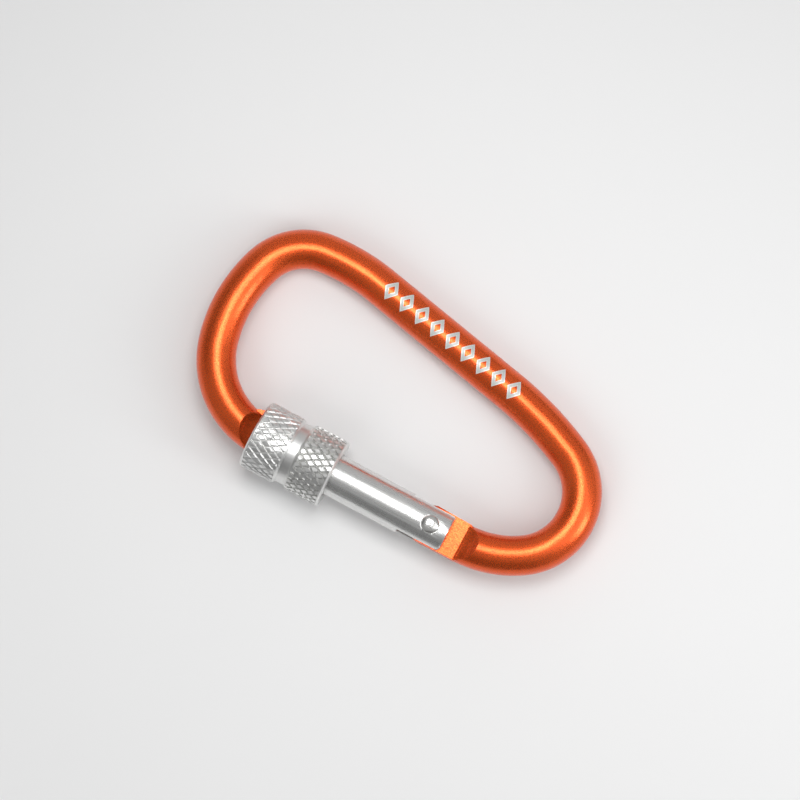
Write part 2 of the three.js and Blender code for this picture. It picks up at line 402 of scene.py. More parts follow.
def rounded(profile, radius, steps=4):
    """The profile with each inner corner replaced by a short arc of about that radius."""
    out = [Vector(profile[0])]
    for before, corner, after in zip(profile, profile[1:], profile[2:]):
        before, corner, after = Vector(before), Vector(corner), Vector(after)
        reach = min(radius, (before - corner).length / 2.2, (after - corner).length / 2.2)
        start = corner + (before - corner).normalized() * reach
        end = corner + (after - corner).normalized() * reach
        for i in range(steps + 1):
            t = i / steps
            out.append((1 - t) ** 2 * start + 2 * t * (1 - t) * corner + t * t * end)
    return [*out, Vector(profile[-1])]


def scratch_object(bm):
    mesh = bpy.data.meshes.new("scratch")
    bm.to_mesh(mesh)
    bm.free()
    made = bpy.data.objects.new("scratch", mesh)
    bpy.context.scene.collection.objects.link(made)
    return made


def combined(bm, tools):
    """bm after each (operation, tool) Boolean in turn, cleaned of slivers."""
    base = scratch_object(bm)
    used = [base]
    for operation, tool in tools:
        used.append(scratch_object(tool))
        modifier = base.modifiers.new("tool", "BOOLEAN")
        modifier.operation = operation
        modifier.solver = "EXACT"
        modifier.object = used[-1]
    bpy.context.view_layer.update()
    result = bmesh.new()
    result.from_object(base, bpy.context.evaluated_depsgraph_get())
    for item in used:
        bpy.data.meshes.remove(item.data)
    bmesh.ops.remove_doubles(result, verts=result.verts, dist=0.004)
    bmesh.ops.dissolve_degenerate(result, edges=result.edges, dist=0.004)
    bmesh.ops.dissolve_limit(
        result,
        angle_limit=math.radians(0.4),
        verts=result.verts,
        edges=result.edges,
    )
    return result


def soften(bm, width, where, least=math.radians(28)):
    """Rounds the sharp edges whose middle passes a test."""
    edges = []
    for edge in bm.edges:
        middle = (edge.verts[0].co + edge.verts[1].co) / 2
        if len(edge.link_faces) == 2 and edge.calc_face_angle(0) > least and where(middle):
            edges.append(edge)
    bmesh.ops.bevel(
        bm,
        geom=edges,
        offset=width,
        offset_type="OFFSET",
        segments=2,
        profile=0.5,
        affect="EDGES",
        clamp_overlap=False,
        material=-1,
    )
    bmesh.ops.remove_doubles(bm, verts=bm.verts, dist=0.003)


def finish_piece(bm, name, body, node, materials, sharp=math.radians(32)):
    """Sets a drawn piece in the frame, shades it, gives it its materials, ties it to its body and
    hides the node it stands in for.
    """
    bm.transform(Matrix.Translation(PIVOT) @ Matrix.Scale(MM, 4))
    mesh = bpy.data.meshes.new(name)
    bm.to_mesh(mesh)
    bm.free()
    mesh.polygons.foreach_set("use_smooth", [True] * len(mesh.polygons))
    mesh.set_sharp_from_angle(angle=sharp)
    for material in materials:
        mesh.materials.append(material)
    piece = bpy.data.objects.new(name, mesh)
    bpy.context.scene.collection.objects.link(piece)
    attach(piece, body)
    if node:
        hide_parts(node)
    return piece


def weigh_normals(piece):
    """Keeps flats flat beside their rounded edges."""
    modifier = piece.modifiers.new("flats", "WEIGHTED_NORMAL")
    modifier.keep_sharp = True
    modifier.weight = 80


# ---- The bar's centre line ----


def bar_legs():
    """Each leg of the line as (start, heading, radius, length, station); a straight has no radius."""
    angles = [math.radians(turn) for _, turn in (*HINGE_BENDS, *NOSE_BENDS)]
    spine_heading = sum(angles[: len(HINGE_BENDS)])

    def run(bends, place, heading, station):
        legs = []
        for radius, turn in bends:
            angle = math.radians(turn)
            legs.append((place, heading, radius, radius * angle, station))
            centre = place + radius * Vector((-math.sin(heading), math.cos(heading), 0))
            place = centre + Matrix.Rotation(angle, 3, "Z") @ (place - centre)
            heading += angle
            station += radius * angle
        return legs, place, heading, station

    first, place, heading, station = run(HINGE_BENDS, Vector((HINGE_FOOT, 0, 0)), 0, 0)
    drop = run(NOSE_BENDS, Vector(), spine_heading, 0)[1].y
    straight = -(place.y + drop) / math.sin(heading)
    first.append((place, heading, None, straight, station))
    place = place + straight * Vector((math.cos(heading), math.sin(heading), 0))
    return first + run(NOSE_BENDS, place, heading, station + straight)[0]


def straightened(point, legs):
    """A point's place if the bar were straight: station along it, distance across, height."""
    best = None
    for start, heading, radius, length, station in legs:
        along = Vector((math.cos(heading), math.sin(heading), 0))
        left = Vector((-along.y, along.x, 0))
        if radius is None:
            distance, across = (point - start).dot(along), (point - start).dot(left)
        else:
            away = point - (start + radius * left)
            turn = math.atan2(away.dot(along), -away.dot(left))
            distance, across = turn * radius, radius - math.hypot(away.x, away.y)
        outside = max(0, -distance, distance - length)
        miss = abs(across) + 3 * outside
        if best is None or miss < best[0]:
            best = (miss, station + distance, across)
    return Vector((best[1], best[2], point.z))


# ---- Pieces ----


def wall_tool(foot, towards, side, tongue_half):
    """What is cut away over a tongue: flat up to its foot, then a hollow wall."""
    bm = bmesh.new()
    centre = Vector(
        (
            foot - towards * WALL_RADIUS * math.sin(WALL_START),
            -BEYOND,
            side * (tongue_half + WALL_RADIUS * math.cos(WALL_START)),
        )
    )
    vert = first = bm.verts.new((foot, -BEYOND, side * tongue_half))
    turn = -towards * side * (WALL_END - WALL_START)
    vert = verts_of(swept(bm, [vert], centre, (0, 1, 0), turn, 28))[0]
    vert = line_to(bm, vert, (vert.co.x, -BEYOND, side * BEYOND))
    vert = line_to(bm, vert, (foot - towards * BEYOND, -BEYOND, side * BEYOND))
    vert = line_to(bm, vert, (foot - towards * BEYOND, -BEYOND, side * tongue_half))
    line_to(bm, vert, first.co)
    return thickened(bm, (0, 2 * BEYOND, 0))


def tongue_edge_tool(side, tongue_half):
    """Slopes the hinge tongue's inner edge, less and less towards the gate's end."""
    corners = ((TONGUE_SLOPE_START, 0.03), (5.0, -1.6), (5.0, 1.5), (TONGUE_SLOPE_START, 1.5))
    places = [(-3.0, y, side * (tongue_half + rise)) for y, rise in corners]
    return outlined(places, TONGUE_SLOPE_RUN)


def notch_tool():
    """The slot for the latch pin, on the pin's own arc about the rivet."""
    bm = bmesh.new()
    pin = (PIN_BOX[0] + PIN_BOX[1]) / 2
    half = (PIN_BOX[1].x - PIN_BOX[0].x) / 2 + NOTCH_GAP
    up = (0, 0, 1)
    low = Vector((0, 0, -BEYOND))
    swing = math.asin(BEYOND / (half - pin.x))
    vert = bm.verts.new((pin.x - half, 0, -BEYOND))
    vert = verts_of(swept(bm, [vert], low, up, -swing, 6))[0]
    inner = vert.co.xy.normalized() * (-pin.x - half)
    vert = line_to(bm, vert, (*inner, -BEYOND))
    vert = verts_of(swept(bm, [vert], low, up, swing, 6))[0]
    swept(bm, [vert], (pin.x, 0, -BEYOND), up, -math.pi, 16)
    return thickened(bm, (0, 0, 2 * BEYOND))


def bar_mesh(sizes):
    """The bent bar with its two tongues, rivet hole and notch."""
    radius = sizes.bar_radius / MM
    tongue = sizes.tongue_half / MM
    legs = bar_legs()
    bm = bmesh.new()
    facing = Matrix.Translation((HINGE_FOOT - 0.5, 0, 0)) @ Matrix.Rotation(math.pi / 2, 4, "Y")
    ring = bmesh.ops.create_circle(bm, radius=radius, segments=BAR_SIDES, matrix=facing)["verts"]
    ends = [bmesh.ops.contextual_create(bm, geom=ring)["faces"][0]]
    made = bmesh.ops.extrude_edge_only(bm, edges=list(ends[0].edges))["geom"]
    bmesh.ops.translate(bm, verts=verts_of(made), vec=(0.5, 0, 0))
    ring = verts_of(made)
    for index, (start, heading, bend, length, _) in enumerate(legs):
        edges = [e for e in bm.edges if e.verts[0] in set(ring) and e.verts[1] in set(ring)]
        if index == len(legs) - 1:
            length -= ROUND_STOPS_SHORT
        if bend is None:
            steps = round(length / BAR_STEP)
            along = Vector((math.cos(heading), math.sin(heading), 0))
            made = swept(bm, [*ring, *edges], start, (0, 0, 1), 0, steps, along * length / steps)
        else:
            centre = start + bend * Vector((-math.sin(heading), math.cos(heading), 0))
            steps = math.ceil(length / BAR_STEP)
            made = swept(bm, [*ring, *edges], centre, (0, 0, 1), length / bend, steps)
        ring = verts_of(made)
    bmesh.ops.contextual_create(bm, geom=ring)
    bmesh.ops.recalc_face_normals(bm, faces=bm.faces)

    # Each tongue's outline runs into the round bar behind its foot. Its faces stand a hair proud, and
    # the wall tools then cut them and the bar to one flat.
    thick = tongue + 0.02
    hinge = plate(
        [
            (HINGE_FOOT + 1.6, -2.9),
            (HINGE_FOOT + 0.3, -radius),
            (-1.1, -radius),
            (-1.75, -3.3),
            (-2.2, -2.6),
            (-2.48, -1.8),
            (-2.55, -1.2),
            (-2.55, 2.9),
            (-0.36, 3.82),
            (3.5, 3.66),
            (HINGE_FOOT + 0.3, radius),
            (HINGE_FOOT + 1.6, 2.9),
        ],
        thick,
    )
    nose = plate(
        [
            (NOSE_FOOT - 2.2, 3.3),
            (NOSE_FOOT - 2.2, -2.5),
            (NOSE_FOOT - 0.3, -3.52),
            (NOSE_FOOT + 1.1, -3.55),
            (NOSE_FOOT + 4.25, -1.2),
            (NOSE_FOOT + 4.25, 2.0),
            (NOSE_FOOT + 3.8, 2.4),
            (NOSE_FOOT + 2.6, 2.4),
            (NOSE_FOOT + 0.9, 4.4),
            (NOSE_FOOT, 4.45),
            (NOSE_FOOT - 1.5, 3.98),
        ],
        thick,
    )
    tools = [("UNION", hinge), ("UNION", nose)]
    for foot, towards in ((HINGE_FOOT, 1), (NOSE_FOOT, -1)):
        for side in (1, -1):
            tools.append(("DIFFERENCE", wall_tool(foot, towards, side, tongue)))
    for side in (1, -1):
        tools.append(("DIFFERENCE", tongue_edge_tool(side, tongue)))
    hole = rod(RIVET_SHANK + RUNNING_GAP, (0, 0, -BEYOND), (0, 0, BEYOND))
    tools += [("DIFFERENCE", hole), ("DIFFERENCE", notch_tool())]
    bm = combined(bm, tools)
    soften(bm, sizes.edge_round / MM, lambda middle: True)
    layer = bm.verts.layers.float_vector.new("straight")
    for vert in bm.verts:
        vert[layer] = straightened(vert.co, legs)
    return bm


def thread_height(x, around):
    """How far a thread's flank stands over its root, from 0 to 1, at a place round the X axis."""
    turn = (x / THREAD_PITCH - around / (2 * math.pi)) % 1.0
    return min(1.0, max(0.0, 1.25 - abs(turn - 0.5) * 4.2 + 0.6))


def gate_mesh(sizes):
    """The tube gate: turned, threaded, slotted at both ends, bored and drilled."""
    start, end = GATE_BOX[0].x, GATE_BOX[1].x
    crest = GATE_BOX[1].y
    threads = round((THREAD_END - 0.4 - start - 0.3) / THREAD_STEP)
    profile = [(start, 0), (start, crest - 0.3), (start + 0.3, crest)]
    profile += [(start + 0.3 + i * THREAD_STEP, crest) for i in range(1, threads)]
    profile += [(THREAD_END - 0.4, crest), (THREAD_END, GATE_RADIUS)]
    profile += [(end - 0.32, GATE_RADIUS), (end - 0.12, GATE_RADIUS - 0.07)]
    profile += [(end, GATE_RADIUS - 0.25), (end, 0)]
    bm = turned(profile, 96)
    for vert in bm.verts:
        x, radius = vert.co.x, math.hypot(vert.co.y, vert.co.z)
        if start + 0.2 < x < THREAD_END - 0.3 and radius > GATE_RADIUS:
            low = 1 - thread_height(x, math.atan2(vert.co.z, vert.co.y))
            scale = (radius - THREAD_DEPTH * low) / radius
            vert.co.y, vert.co.z = vert.co.y * scale, vert.co.z * scale

    tools = [
        block((start - 1, -BEYOND, -GATE_SLOT_HALF), (NOSE_SLOT_END, BEYOND, GATE_SLOT_HALF)),
        block((HINGE_SLOT_END, -BEYOND, -GATE_SLOT_HALF), (end + 1, BEYOND, GATE_SLOT_HALF)),
        rod(BORE_RADIUS, (BORE_END, 0, 0), (HINGE_SLOT_END + 1, 0, 0)),
        rod(RIVET_SHANK + RUNNING_GAP, (0, 0, -BEYOND), (0, 0, BEYOND)),
    ]
    seat = RIVET_BOX[1].x + RUNNING_GAP
    for side in (1, -1):
        tools.append(rod(seat, (0, 0, side * RIVET_SEAT), (0, 0, side * BEYOND)))
    pin_x = (PIN_BOX[0].x + PIN_BOX[1].x) / 2
    pin_hole = (PIN_BOX[1].x - PIN_BOX[0].x) / 2 + RUNNING_GAP
    tools.append(rod(pin_hole, (pin_x, 0, -BEYOND), (pin_x, 0, BEYOND)))
    tools.append(ear_tool(end))
    bm = combined(bm, [("DIFFERENCE", tool) for tool in tools])
    corner = Vector((end - EAR_ROUND, -EAR_RIM_FROM, GATE_SLOT_HALF + 0.15))
    soften(
        bm,
        EAR_RIM,
        lambda middle: middle.x > corner.x and middle.y < corner.y and abs(middle.z) > corner.z,
    )
    soften(bm, sizes.edge_round / MM, lambda middle: middle.x > THREAD_END + 0.2)
    return bm


def ear_tool(end):
    """Rounds the outer corner of the gate's two ears, seen from above."""
    bm = bmesh.new()
    ear_half = math.sqrt(GATE_RADIUS**2 - GATE_SLOT_HALF**2)
    corner = Vector((end - EAR_ROUND, -ear_half, -BEYOND))
    vert = bm.verts.new(corner)
    centre = corner + Vector((0, EAR_ROUND, 0))
    vert = verts_of(swept(bm, [vert], centre, (0, 0, 1), math.pi / 2, 10))[0]
    vert = line_to(bm, vert, (end + 1, vert.co.y, -BEYOND))
    vert = line_to(bm, vert, (end + 1, -GATE_RADIUS - 1, -BEYOND))
    vert = line_to(bm, vert, (corner.x, -GATE_RADIUS - 1, -BEYOND))
    line_to(bm, vert, corner)
    return thickened(bm, (0, 0, 2 * BEYOND))


def set_round(vert, x, radius):
    """Moves a vertex to a place along the X axis and a radius about it, at its own angle."""
    across = Vector((vert.co.y, vert.co.z)).normalized() * radius
    vert.co = (x, *across)


def knurled_band(bm, band, sizes, chance):
    """One knurled band. Gives its boundary edges beside the groove and at the rim."""
    inner, way, length = band
    depth = sizes.knurl_depth / MM
    crest = SLEEVE_BOX[1].z
    root = crest - depth
    begin = inner - way * KNURL_PHASE * KNURL_AXIAL_PITCH
    rows = math.ceil(length / KNURL_AXIAL_PITCH + KNURL_PHASE + 0.6)
    vert = bm.verts.new((begin, 0, root))
    chain = [vert]
    for row in range(1, rows + 1):
        vert = line_to(bm, vert, (begin + way * row * KNURL_AXIAL_PITCH, 0, root))
        chain.append(vert)
    edges = list({edge for vert in chain for edge in vert.link_edges})
    old = set(bm.verts) - set(chain)
    turn = 2 * math.pi
    swept(bm, [*chain, *edges], (0, 0, 0), (1, 0, 0), turn, sizes.knurl_teeth, full=True)
    cells = [face for face in bm.faces if not old.intersection(face.verts)]
    cell_edges = {edge for face in cells for edge in face.edges}
    inner_edges = [edge for edge in cell_edges if len(edge.link_faces) == 2]
    centres = bmesh.ops.poke(bm, faces=cells)["verts"]
    for vert in centres:
        set_round(vert, vert.co.x, root)
    bmesh.ops.dissolve_edges(bm, edges=inner_edges, use_verts=False)
    diamonds = [f for f in bm.faces if len(f.verts) == 4 and not old.intersection(f.verts)]
    for width, share in KNURL_FLANKS:
        bmesh.ops.inset_individual(
            bm,
            faces=diamonds,
            thickness=width,
            depth=depth * share,
            use_even_offset=True,
        )
    for face in diamonds:
        drop = chance.uniform(0, KNURL_DROP)
        lean = chance.uniform(-KNURL_LEAN, KNURL_LEAN)
        for index, vert in enumerate(face.verts):
            set_round(vert, vert.co.x, crest - drop + (lean if index < 2 else -lean))
    ends = []
    for x, clear_low in ((inner, way > 0), (inner + way * length, way < 0)):
        mine = [v for v in bm.verts if v not in old]
        near = set(mine)
        edges = [e for e in bm.edges if e.verts[0] in near and e.verts[1] in near]
        faces = [f for f in bm.faces if near.issuperset(f.verts)]
        cut = bmesh.ops.bisect_plane(
            bm,
            geom=[*mine, *edges, *faces],
            plane_co=(x, 0, 0),
            plane_no=(1, 0, 0),
            dist=1e-5,
            clear_inner=clear_low,
            clear_outer=not clear_low,
        )
        ends.append([e for e in edges_of(cut["geom_cut"]) if e.is_valid])
    return [[e for e in edges if e.is_valid and len(e.link_faces) == 1] for edges in ends]


def carried(bm, edges, rings):
    """Draws a loop of edges on through rings of (x, radius), and gives the last loop."""
    for x, radius in rings:
        made = bmesh.ops.extrude_edge_only(bm, edges=edges)["geom"]
        verts = set(verts_of(made))
        edges = [e for e in edges_of(made) if verts.issuperset(e.verts)]
        for vert in verts:
            around = math.atan2(vert.co.z, vert.co.y)
            set_round(vert, x, radius(x, around) if callable(radius) else radius)
    return edges


def sleeve_mesh(sizes):
    """The locking sleeve: two knurled bands, the groove between them, and its inside."""
    chance = random.Random(11)
    left, right = SLEEVE_BOX[0].x, SLEEVE_BOX[1].x
    crest = SLEEVE_BOX[1].z
    bm = bmesh.new()
    groove_left, rim_left = knurled_band(bm, KNURL_LEFT, sizes, chance)
    groove_right, rim_right = knurled_band(bm, KNURL_RIGHT, sizes, chance)

    floor = SLEEVE_GROOVE_RADIUS
    heights = (crest - 0.09, crest - GROOVE_LIP, floor + 0.12, floor + 0.03)
    reaches = (0.02, 0.1, 0.42, 0.5)
    flank = [(KNURL_LEFT[0] + reach, height) for reach, height in zip(reaches, heights)]
    start, end = KNURL_LEFT[0] + 0.62, KNURL_RIGHT[0] - 0.56
    flank += [(start + (end - start) * i / GROOVE_STEPS, floor) for i in range(GROOVE_STEPS + 1)]
    carried(bm, groove_left, flank)
    reaches = (0.02, 0.1, 0.36, 0.44)
    flank = [(KNURL_RIGHT[0] - reach, height) for reach, height in zip(reaches, heights)]
    carried(bm, groove_right, [*flank, (end, floor)])

    def rim(face, inward):
        return [
            (face + inward * 0.5, crest - 0.05),
            (face + inward * 0.42, crest - 0.01),
            (face + inward * 0.34, crest - 0.02),
            (face + inward * 0.06, crest - 0.33),
            (face + inward * 0.015, crest - 0.39),
            (face, crest - 0.5),
        ]

    def inner_thread(x, around):
        return SLEEVE_THREAD_RADIUS + THREAD_DEPTH * (1 - thread_height(x, around))

    thread_start = left + SLEEVE_MOUTH_DEPTH
    land_start = right - SLEEVE_LAND_LENGTH
    mouth = SLEEVE_MOUTH_RADIUS
    land = SLEEVE_LAND_RADIUS
    inside = rim(left, 1) + [(left, mouth + 0.3), (left + 0.06, mouth + 0.1), (left + 0.3, mouth)]
    inside += [(thread_start, mouth), (thread_start, SLEEVE_THREAD_RADIUS + THREAD_DEPTH)]
    count = round((land_start - thread_start) / (1.25 * THREAD_STEP))
    gap = (land_start - thread_start) / count
    inside += [(thread_start + gap * i, inner_thread) for i in range(1, count)]
    inside += [(land_start, SLEEVE_THREAD_RADIUS), (land_start, land)]
    end_face = [(right, land + 0.2), (right - 0.04, land + 0.06), (right - 0.15, land)]
    from_mouth = carried(bm, rim_left, inside)
    from_end = carried(bm, rim_right, rim(right, -1) + end_face)
    bmesh.ops.bridge_loops(bm, edges=[*from_mouth, *from_end])
    bmesh.ops.remove_doubles(bm, verts=bm.verts, dist=0.002)
    bmesh.ops.recalc_face_normals(bm, faces=bm.faces)
    return bm


def rivet_mesh():
    """The rivet, turned, with two low domes that the riveting tool dimpled."""
    seat = RIVET_SEAT + 0.03
    head, top = RIVET_BOX[1].x, RIVET_BOX[1].z
    edge = seat + 0.14
    crown = [(edge, head - 0.02)]
    for i in range(1, 12):
        angle = math.radians(90 * i / 12)
        crown.append((edge + (top - edge) * math.sin(angle), (head - 0.02) * math.cos(angle)))
    upper = [(seat, RIVET_SHANK), (seat, head - 0.04), (seat + 0.04, head), *crown]
    upper += [(top - 0.035, 0.19), (top - 0.07, 0.1), (top - 0.08, 0)]
    lower = [(-x, radius) for x, radius in reversed(upper)]
    bm = turned([*lower, *upper], 64)
    bmesh.ops.rotate(
        bm,
        verts=bm.verts,
        cent=(0, 0, 0),
        matrix=Matrix.Rotation(-math.pi / 2, 3, "Y"),
    )
    return bm


def pin_mesh():
    """The latch pin, a short dowel with rounded ends."""
    low, high = PIN_BOX
    x, radius = (low.x + high.x) / 2, (high.x - low.x) / 2
    profile = rounded([(low.z, 0), (low.z, radius), (high.z, radius), (high.z, 0)], 0.2)
    bm = turned(profile, 40)
    turn = Matrix.Rotation(-math.pi / 2, 3, "Y")
    bmesh.ops.rotate(bm, verts=bm.verts, cent=(0, 0, 0), matrix=turn)
    bmesh.ops.translate(bm, verts=bm.verts, vec=(x, 0, 0))
    return bm


def plunger_mesh():
    """The plunger: a round nose, a body with two grease grooves, and the spring's guide."""
    low, high = PLUNGER_BOX
    radius, guide, shoulder = high.z, 0.85, -8.5
    profile = [(low.x, 0), (low.x, guide - 0.2), (low.x + 0.2, guide), (shoulder, guide)]
    profile += [(shoulder, radius - 0.1), (shoulder + 0.1, radius)]
    for groove in (-7.2, -5.6):
        profile += [(groove - 0.2, radius), (groove - 0.1, radius - 0.12)]
        profile += [(groove + 0.1, radius - 0.12), (groove + 0.2, radius)]
    profile += [(high.x - 0.45, radius), (high.x, radius - 0.55), (high.x, 0)]
    return turned(rounded(profile, 0.12, 3), 48)


def spring_mesh():
    """The return spring, with its last turn at each end wound closed."""
    low, high = SPRING_BOX
    mean = high.z - SPRING_WIRE
    start, end = low.x + SPRING_WIRE, high.x - SPRING_WIRE
    closed = 2.1 * SPRING_WIRE
    opened = (end - start - 2 * closed) / (SPRING_TURNS - 2)
    bm = bmesh.new()
    place = Matrix.Translation((start, 0, mean)) @ Matrix.Rotation(math.pi / 2, 4, "X")
    ring = bmesh.ops.create_circle(bm, radius=SPRING_WIRE, segments=10, matrix=place)["verts"]
    bmesh.ops.contextual_create(bm, geom=ring)
    loop = [*ring, *{edge for vert in ring for edge in vert.link_edges}]
    for turns, pitch in ((1, closed), (SPRING_TURNS - 2, opened), (1, closed)):
        steps = 28 * turns
        rise = (pitch * turns / steps, 0, 0)
        loop = swept(bm, loop, (0, 0, 0), (1, 0, 0), 2 * math.pi * turns, steps, rise)
        loop = [*verts_of(loop), *edges_of(loop)]
    bmesh.ops.contextual_create(bm, geom=verts_of(loop))
    bmesh.ops.recalc_face_normals(bm, faces=bm.faces)
    return bm


def mark_mesh(sizes):
    """A row of open diamonds on the straight spine, bent to the bar's round."""
    spine = next(leg for leg in bar_legs() if leg[2] is None)
    start, heading, *_ = spine
    along = Vector((math.cos(heading), math.sin(heading), 0))
    outward = Vector((along.y, -along.x, 0))
    radius = sizes.bar_radius / MM
    first, last = MARK_SPAN
    bm = bmesh.new()
    for index in range(sizes.mark_count):
        station = first + (last - first) * index / max(1, sizes.mark_count - 1)
        a, b = MARK_LENGTH / 2, MARK_HEIGHT / 2
        reach = a * b / math.hypot(a, b)
        rim = list(MARK_RIM)
        loops = [*rim, (MARK_STROKE / 2, MARK_FILL_LIFT)]
        loops += [(MARK_STROKE - inset, lift) for inset, lift in reversed(rim)]
        previous = None
        for inset, lift in loops:
            share = 1 - inset / reach
            verts = bmesh.ops.create_circle(bm, radius=1, segments=MARK_SEGMENTS)["verts"]
            for vert in verts:
                corner = vert.co / (abs(vert.co.x) + abs(vert.co.y))
                s = station + corner.x * a * share
                turn = MARK_TURN + corner.y * b * share / radius
                ray = outward * math.sin(turn) + Vector((0, 0, math.cos(turn)))
                vert.co = start + along * s + ray * (radius + lift)
            ring = list({edge for vert in verts for edge in vert.link_edges})
            if previous:
                strip = bmesh.ops.bridge_loops(bm, edges=[*previous, *ring])["faces"]
                filled = rim[-1][0] < inset < MARK_STROKE - 0.15
                for face in strip:
                    face.material_index = 0 if filled else 1
            previous = ring
    bmesh.ops.solidify(bm, geom=bm.faces[:], thickness=MARK_BACK)
    bmesh.ops.recalc_face_normals(bm, faces=bm.faces)
    return bm


# ---- Finishes ----


def add(tree, kind, inputs=None, **properties):
    """Adds a node, sets its properties, and sets or links each input."""
    node = tree.nodes.new("ShaderNode" + kind)
    for name, value in properties.items():
        setattr(node, name, value)
    for key, value in (inputs or {}).items():
        if isinstance(value, bpy.types.NodeSocket):
            tree.links.new(value, node.inputs[key])
        else:
            node.inputs[key].default_value = value
    return node


def new_material(name):
    material = bpy.data.materials.new(name)
    material.use_nodes = True
    material.node_tree.nodes.clear()
    return material, material.node_tree


def close_material(tree, inputs):
    shader = add(tree, "BsdfPrincipled", inputs)
    add(tree, "OutputMaterial", {"Surface": shader.outputs["BSDF"]})


def per_mm(size):
    """The scale of a pattern of that size in millimetres, on coordinates in metres."""
    return 1 / (size * MM)


def scaled(colour, *shares):
    """A colour with its red, green and blue scaled, by one share or by three."""
    shares = shares * (3 // len(shares))
    return tuple(min(1, part * share) for part, share in zip(colour, shares))


def mottled(tree, pattern, dark, light):
    """A colour that drifts from dark to light over the middle of a pattern's range."""
    share = add(tree, "MapRange", {"Value": pattern.outputs["Fac"], 1: 0.3, 2: 0.7}).outputs["Result"]
    mixed = add(tree, "Mix", {0: share, 6: (*dark, 1), 7: (*light, 1)}, data_type="RGBA")
    return mixed.outputs[2]


def anodised_aluminium(finishes):
    """Dyed anodised aluminium, drawn bar that was bent, etched to a satin and dyed: an even orange
    with a soft broad sheen, a fine grain along the highlights' borders, faint lines along the bar
    and a few small pits and scratches."""
    material, tree = new_material("anodised_aluminium_orange")
    place = add(tree, "TexCoord").outputs["Object"]
    straight = add(tree, "Attribute", attribute_name="straight").outputs["Vector"]

    # The etched grain is about 0.1 mm on the metal and is drawn at 0.17 mm so that it shows.
    grain = add(tree, "TexNoise", {"Vector": place, "Scale": per_mm(0.17), "Detail": 3.0})
    cloud = add(tree, "TexNoise", {"Vector": place, "Scale": per_mm(7.0), "Detail": 2.0})
    drawn = add(tree, "Mapping", {"Vector": straight, "Scale": (0.06, 2.6, 2.6)}).outputs["Vector"]
    lines = add(tree, "TexNoise", {"Vector": drawn, "Scale": 1.0, "Detail": 4.0, "Roughness": 0.6})

    # Small pits, in some cells only.
    cells = add(tree, "TexVoronoi", {"Vector": place, "Scale": per_mm(1.1)}, feature="F1")
    chance = add(tree, "SeparateColor", {0: cells.outputs["Color"]}).outputs["Red"]
    chosen = add(tree, "Math", {0: chance, 1: 0.62}, operation="GREATER_THAN").outputs["Value"]
    pit = add(
        tree,
        "MapRange",
        {"Value": cells.outputs["Distance"], 1: 0.07, 2: 0.13, 3: 1.0, 4: 0.0},
        interpolation_type="SMOOTHSTEP",
    ).outputs["Result"]
    pit = add(tree, "Math", {0: pit, 1: chosen}, operation="MULTIPLY").outputs["Value"]

    # Scratches from keys: thin arcs of a few millimetres, kept to patches.
    bent = add(
        tree,
        "Mapping",
        {"Vector": straight, "Rotation": (0.3, 0.4, 0.5), "Scale": (0.12, 0.9, 0.9)},
    ).outputs["Vector"]
    edges = add(tree, "TexVoronoi", {"Vector": bent, "Scale": 0.8}, feature="DISTANCE_TO_EDGE")
    scratch = add(
        tree,
        "MapRange",
        {"Value": edges.outputs["Distance"], 1: 0.004, 2: 0.012, 3: 1.0, 4: 0.0},
    ).outputs["Result"]
    patch = add(tree, "TexNoise", {"Vector": place, "Scale": per_mm(5.0), "Detail": 1.0})
    patch = add(
        tree,
        "MapRange",
        {"Value": patch.outputs["Fac"], 1: 0.6, 2: 0.68, 3: 0.0, 4: 1.0},
        interpolation_type="SMOOTHSTEP",
    ).outputs["Result"]
    scratch = add(tree, "Math", {0: scratch, 1: patch}, operation="MULTIPLY").outputs["Value"]
    scratch = add(tree, "Math", {0: scratch, 1: 0.5}, operation="MULTIPLY").outputs["Value"]

    dye = finishes.bar_colour
    tone = mottled(tree, cloud, scaled(dye, 0.98, 0.92, 0.85), scaled(dye, 1.02, 1.06, 1.1))
    bare = scaled(dye, 1.0, 1.5, 2.0)
    worn = add(tree, "Mix", {0: scratch, 6: tone, 7: (*bare, 1)}, data_type="RGBA")

    # Etched tops and hollows scatter differently, which gives a sharp sheen inside a broad one.
    etched = add(
        tree,
        "Math",
        {0: lines.outputs["Fac"], 1: 0.35, 2: grain.outputs["Fac"]},
        operation="MULTIPLY_ADD",
    ).outputs["Value"]
    rough = add(tree, "MapRange", {"Value": etched, 1: 0.56, 2: 0.8, 3: 0.2, 4: 0.43})
    rough = add(
        tree,
        "Math",
        {0: pit, 1: 0.12, 2: rough.outputs["Result"]},
        operation="MULTIPLY_ADD",
    )
    height = add(tree, "Math", {0: pit, 1: -1.4, 2: etched}, operation="MULTIPLY_ADD")
    bump = add(
        tree,
        "Bump",
        {"Strength": 0.7, "Distance": 0.016 * MM, "Height": height.outputs["Value"]},
    )
    close_material(
        tree,
        {
            "Base Color": worn.outputs[2],
            "Metallic": 0.86,
            "Roughness": rough.outputs["Value"],
            "Normal": bump.outputs["Normal"],
            "Coat Weight": 0.3,
            "Coat Roughness": 0.25,
            "Coat IOR": 1.5,
        },
    )
    return material


def close_metal(tree, tone, pattern, roughness, height, strength, depth_mm):
    """Ends a bare metal: a roughness that follows a pattern between two values, and a bump."""
    rough = add(
        tree,
        "MapRange",
        {"Value": pattern, 1: 0.3, 2: 0.7, 3: roughness[0], 4: roughness[1]},
    )
    bump = add(tree, "Bump", {"Strength": strength, "Distance": depth_mm * MM, "Height": height})
    close_material(
        tree,
        {
            "Base Color": tone,
            "Metallic": 1.0,
            "Roughness": rough.outputs["Result"],
            "Normal": bump.outputs["Normal"],
        },
    )


